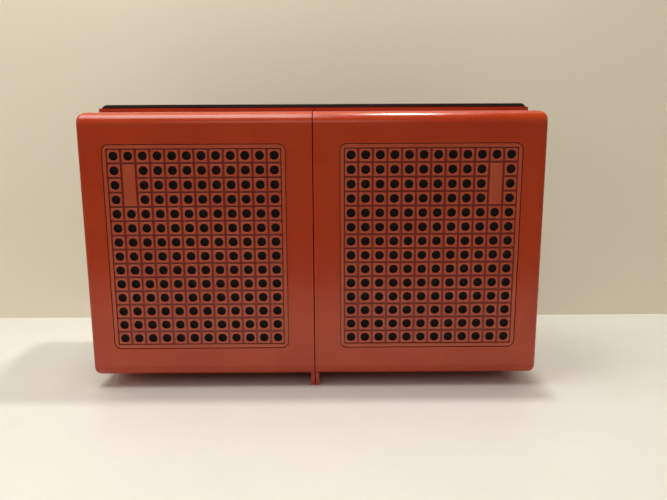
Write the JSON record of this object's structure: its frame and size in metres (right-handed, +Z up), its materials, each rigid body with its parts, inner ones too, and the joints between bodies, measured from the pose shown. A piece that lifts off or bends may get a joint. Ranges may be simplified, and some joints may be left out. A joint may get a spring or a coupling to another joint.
{
  "type": "record player",
  "caption": "Portable stereo record player stored upright: two grille-fronted speaker boxes pull off forwards to bare a platter, pickup arm and rotary controls.",
  "frame": {"origin": "middle of the footprint, on the surface that the feet stand on", "axes": "+X to the viewer's right along the width, +Y backwards from the speaker fronts, +Z up as the case stands"},
  "size_m": [0.465, 0.15, 0.297],
  "materials": {
    "orange_abs": "moulded, satin gloss",
    "black_abs": "moulded, fine texture",
    "deck_abs": "moulded, fine texture",
    "knob_abs": "moulded, satin",
    "cream_plastic": "moulded",
    "red_plastic": "moulded",
    "acoustic_cloth": "open plain weave",
    "hardboard": "pressed fibre, smooth face",
    "cone_paper": "pressed pulp",
    "phenolic_board": "paper laminate",
    "ferrite": "sintered, ground",
    "pressed_steel": "zinc plated pressing",
    "zinc_steel": "zinc plated",
    "polished_steel": "ground and polished",
    "lamination_steel": "stacked sheet, lacquered",
    "enamelled_copper": "wound enamelled wire",
    "cast_aluminium": "die cast, turned rim",
    "anodised_aluminium": "brushed and anodised",
    "black_aluminium": "black anodised",
    "bronze": "sintered",
    "rubber": "moulded, matt"
  },
  "bodies": {
    "unit": {"rear_housing": "black_abs", "deck": "deck_abs", "control_panel": "anodised_aluminium", "platter_bearing": "bronze", "idler_bracket": "pressed_steel", "motor_stator": "lamination_steel", "motor_coil": "enamelled_copper", "motor_brackets": "zinc_steel", "arm_base": "deck_abs", "rotary_controls": "zinc_steel", "push_switches": "phenolic_board", "handle_pins": "zinc_steel", "mains_inlet": "black_abs", "din_sockets": "black_abs", "rubber_feet": "rubber", "housing_screws": "zinc_steel", "transformer_core": "lamination_steel", "transformer_winding": "enamelled_copper", "amplifier_board": "phenolic_board", "capacitors": "anodised_aluminium", "heat_sink": "black_aluminium"},
    "turntable": {"platter": "cast_aluminium", "platter_mat": "rubber", "spindle": "polished_steel"},
    "idler": {"idler_wheel": "black_abs", "idler_tyre": "rubber"},
    "rotor": {"motor_rotor": "polished_steel"},
    "arm_carrier": {"arm_yoke": "black_abs"},
    "pickup_arm": {"arm_hub": "cast_aluminium", "arm_tube": "anodised_aluminium", "counterweight": "zinc_steel", "headshell": "black_abs", "cartridge": "cream_plastic", "stylus": "red_plastic"},
    "cueing": {"cue_lever": "anodised_aluminium"},
    "volume_control": {"volume_knob": "knob_abs"},
    "balance_control": {"balance_knob": "knob_abs"},
    "tone_control": {"tone_knob": "knob_abs"},
    "speed_control": {"speed_knob": "knob_abs"},
    "power_switch": {"power_button": "red_plastic"},
    "mode_switch": {"mode_button": "knob_abs"},
    "carry_handle": {"handle": "black_abs"},
    "left_speaker": {"left_speaker_shell": "orange_abs", "left_speaker_grille": "orange_abs", "left_grille_cloth": "acoustic_cloth", "left_driver_basket": "pressed_steel", "left_driver_cone": "cone_paper", "left_driver_magnet": "ferrite", "left_speaker_back_panel": "hardboard", "left_back_panel_screws": "zinc_steel", "left_lead_socket": "black_abs"},
    "right_speaker": {"right_speaker_shell": "orange_abs", "right_speaker_grille": "orange_abs", "right_grille_cloth": "acoustic_cloth", "right_driver_basket": "pressed_steel", "right_driver_cone": "cone_paper", "right_driver_magnet": "ferrite", "right_speaker_back_panel": "hardboard", "right_back_panel_screws": "zinc_steel", "right_lead_socket": "black_abs"}
  },
  "joints": [
    {"name": "platter_spin", "type": "hinge", "parent": "unit", "child": "turntable", "pos_m": [-0.092, -0.003, 0.15], "axis": [0, 1, 0], "continuous": true},
    {"name": "idler_spin", "type": "hinge", "parent": "unit", "child": "idler", "pos_m": [-0.0382, 0.0065, 0.08588], "axis": [0, 1, 0], "continuous": true},
    {"name": "rotor_spin", "type": "hinge", "parent": "unit", "child": "rotor", "pos_m": [-0.0631, 0.03, 0.08588], "axis": [0, 1, 0], "continuous": true},
    {"name": "arm_swing", "type": "hinge", "parent": "unit", "child": "arm_carrier", "pos_m": [0.086, -0.007, 0.252], "axis": [0, 1, 0], "range_deg": [0, 47]},
    {"name": "arm_lift", "type": "hinge", "parent": "arm_carrier", "child": "pickup_arm", "pos_m": [0.086, -0.015, 0.252], "axis": [-1, 0, 0], "range_deg": [-1, 3]},
    {"name": "cue_lever_turn", "type": "hinge", "parent": "unit", "child": "cueing", "pos_m": [0.116, 0, 0.213], "axis": [0, -1, 0], "range_deg": [0, 60]},
    {"name": "volume_turn", "type": "hinge", "parent": "unit", "child": "volume_control", "pos_m": [0.14, -0.005, 0.113], "axis": [0, 1, 0], "range_deg": [-135, 135]},
    {"name": "balance_turn", "type": "hinge", "parent": "unit", "child": "balance_control", "pos_m": [0.194, -0.005, 0.113], "axis": [0, 1, 0], "range_deg": [-135, 135]},
    {"name": "tone_turn", "type": "hinge", "parent": "unit", "child": "tone_control", "pos_m": [0.14, -0.005, 0.063], "axis": [0, 1, 0], "range_deg": [-135, 135]},
    {"name": "speed_turn", "type": "hinge", "parent": "unit", "child": "speed_control", "pos_m": [0.194, -0.005, 0.063], "axis": [0, 1, 0], "range_deg": [0, 60]},
    {"name": "power_press", "type": "slide", "parent": "unit", "child": "power_switch", "axis": [0, 1, 0], "range_m": [0, 0.003], "stiffness_N_per_m": 300},
    {"name": "mode_press", "type": "slide", "parent": "unit", "child": "mode_switch", "axis": [0, 1, 0], "range_m": [0, 0.003], "stiffness_N_per_m": 300},
    {"name": "handle_fold", "type": "hinge", "parent": "unit", "child": "carry_handle", "pos_m": [0, 0.029, 0.291], "axis": [1, 0, 0], "range_deg": [0, 90]},
    {"name": "left_speaker_off", "type": "slide", "parent": "unit", "child": "left_speaker", "axis": [0, -1, 0], "range_m": [0, 0.2]},
    {"name": "right_speaker_off", "type": "slide", "parent": "unit", "child": "right_speaker", "axis": [0, -1, 0], "range_m": [0, 0.2]}
  ],
  "couplings": [
    {"joint": "idler_spin", "follows": "platter_spin", "ratio": 4.8182},
    {"joint": "rotor_spin", "follows": "platter_spin", "ratio": -40.769}
  ]
}
